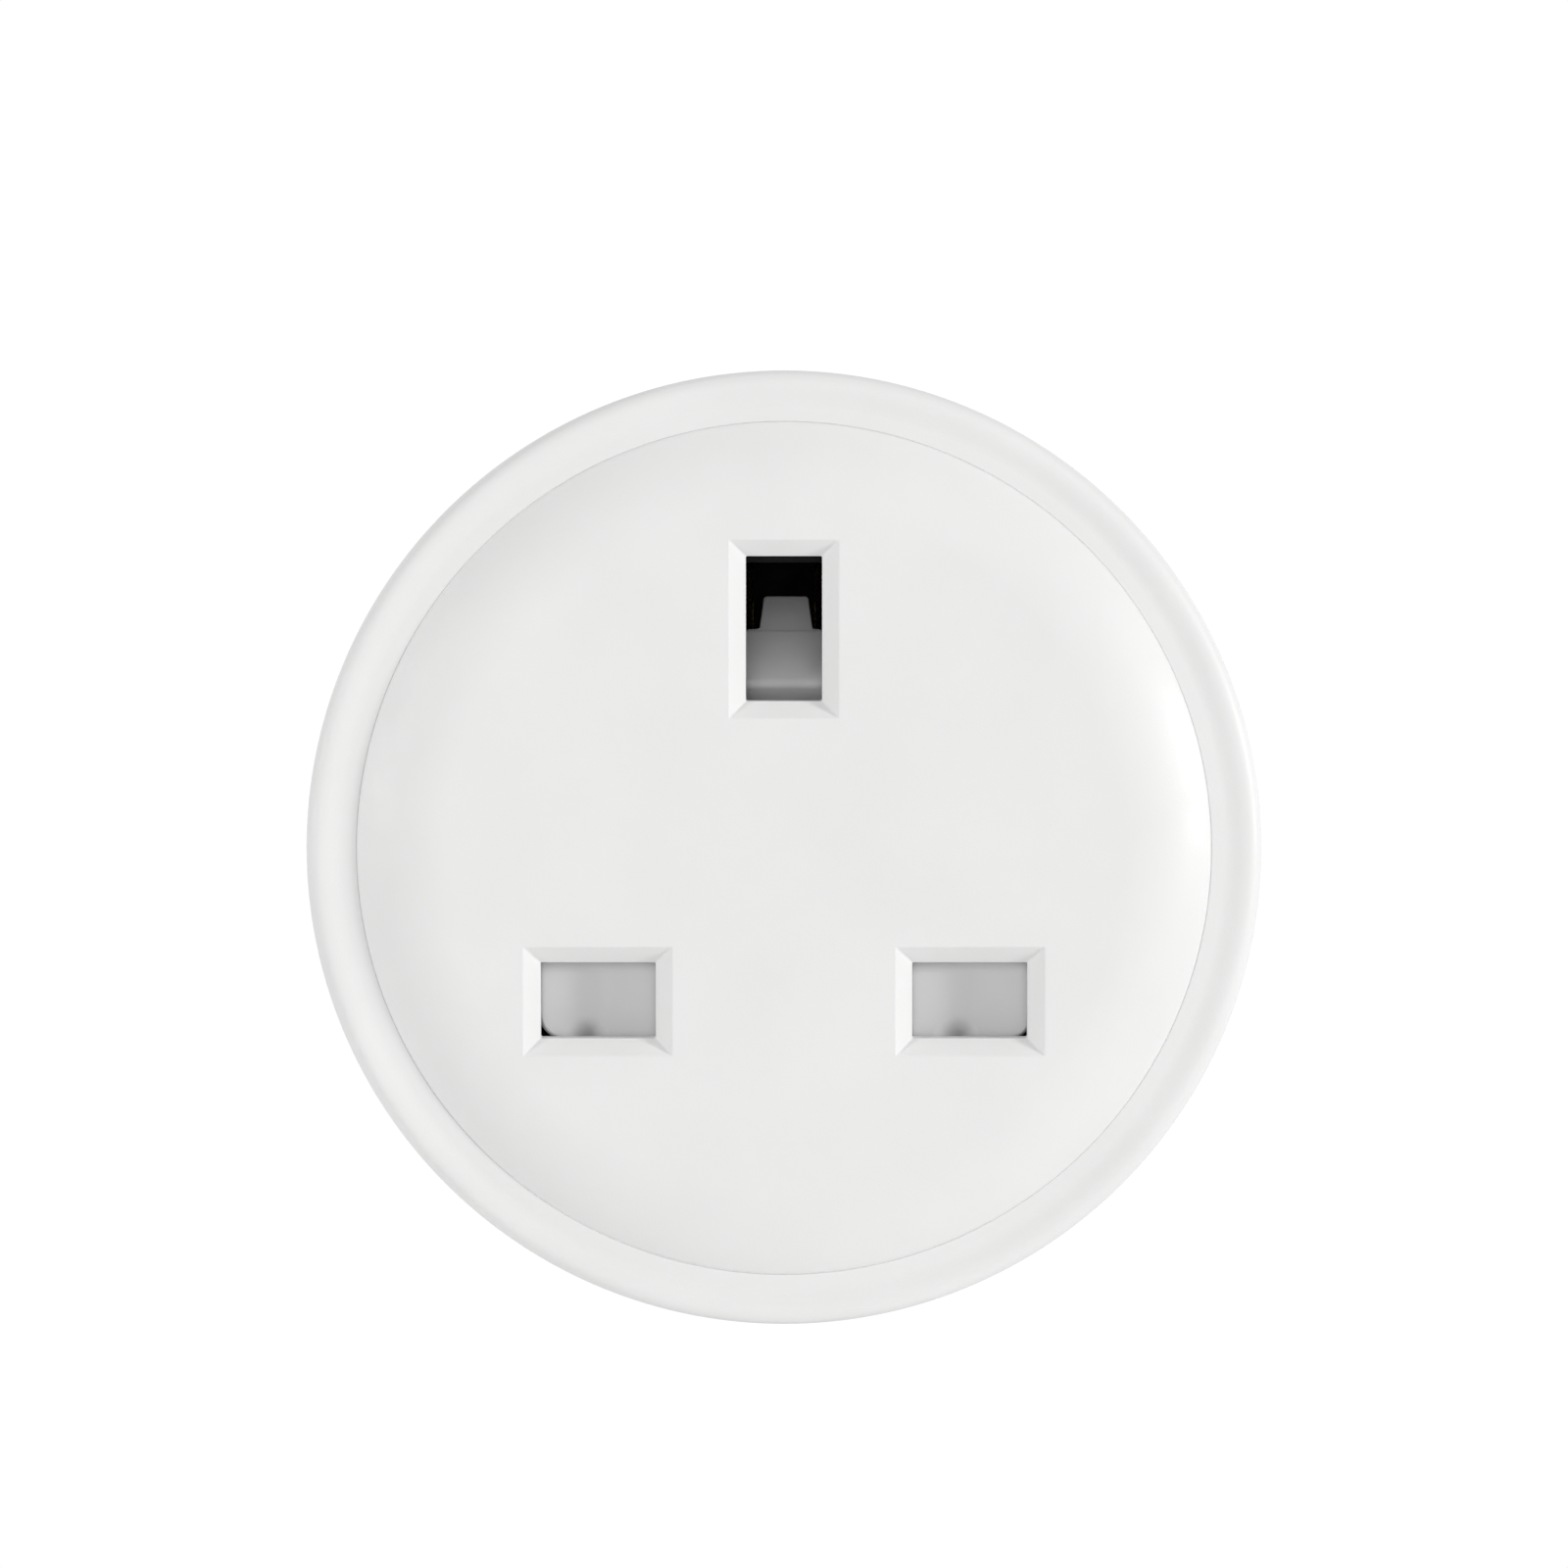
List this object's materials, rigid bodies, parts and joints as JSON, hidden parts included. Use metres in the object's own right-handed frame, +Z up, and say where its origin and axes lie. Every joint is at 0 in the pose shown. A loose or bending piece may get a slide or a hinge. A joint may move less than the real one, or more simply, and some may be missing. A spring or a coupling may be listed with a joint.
{
  "type": "plug in power meter",
  "caption": "Round plug-in power meter for a three-pin 13 A wall socket, with a shuttered pass-through socket on its front and a key on top.",
  "frame": {"origin": "middle of the flat face that meets the wall socket", "axes": "+Z up towards the earth pin, +Y along the pins into the wall, so the front faces -Y; +X is the line pole's side"},
  "size_m": [0.0572, 0.0587, 0.0572],
  "materials": {
    "housing_white": "satin",
    "shutter_grey": "satin",
    "core_black": "matte",
    "sleeve_black": "satin",
    "brass": "polished",
    "spring_steel": "satin",
    "zinc_steel": "satin",
    "board_green": "satin",
    "relay_blue": "satin",
    "can_sleeve": "gloss",
    "choke_black": "matte",
    "varistor_blue": "satin",
    "resistor_green": "satin",
    "copper_alloy": "satin",
    "chip_black": "matte",
    "shield_tin": "satin",
    "switch_black": "satin",
    "led_white": "gloss",
    "pipe_clear": "gloss"
  },
  "bodies": {
    "housing": {"front_case": "housing_white", "face_plate": "housing_white", "rear_cover": "housing_white", "shutter_spring": "spring_steel", "socket_core": "core_black", "line_socket_contact": "brass", "neutral_socket_contact": "brass", "earth_socket_contact": "brass", "earth_strap": "copper_alloy", "line_pin": "brass", "neutral_pin": "brass", "earth_pin": "brass", "line_pin_sleeve": "sleeve_black", "neutral_pin_sleeve": "sleeve_black", "main_board": "board_green", "wireless_board": "board_green", "control_board": "board_green", "relay": "relay_blue", "filter_capacitor_large": "can_sleeve", "filter_capacitor_small": "can_sleeve", "filter_inductor": "choke_black", "varistor": "varistor_blue", "fuse_resistor": "resistor_green", "current_shunt": "copper_alloy", "metering_chip": "chip_black", "converter_chip": "chip_black", "wireless_shield": "shield_tin", "control_header": "switch_black", "tact_switch": "switch_black", "status_led": "led_white", "led_light_pipe": "pipe_clear", "case_screw_left": "zinc_steel", "case_screw_right": "zinc_steel", "case_screw_lower": "zinc_steel"},
    "shutter": {"shutter": "shutter_grey"},
    "button": {"power_button": "housing_white", "switch_plunger": "switch_black"}
  },
  "joints": [
    {"name": "shutter_slide", "type": "slide", "parent": "housing", "child": "shutter", "axis": [0, 0, -1], "range_m": [0, 0.0061], "stiffness_N_per_m": 120, "springref_m": -0.01, "deforming": ["shutter_spring"]},
    {"name": "button_press", "type": "slide", "parent": "housing", "child": "button", "axis": [0, 0, -1], "range_m": [0, 0.0004], "stiffness_N_per_m": 600, "springref_m": -0.0015}
  ]
}
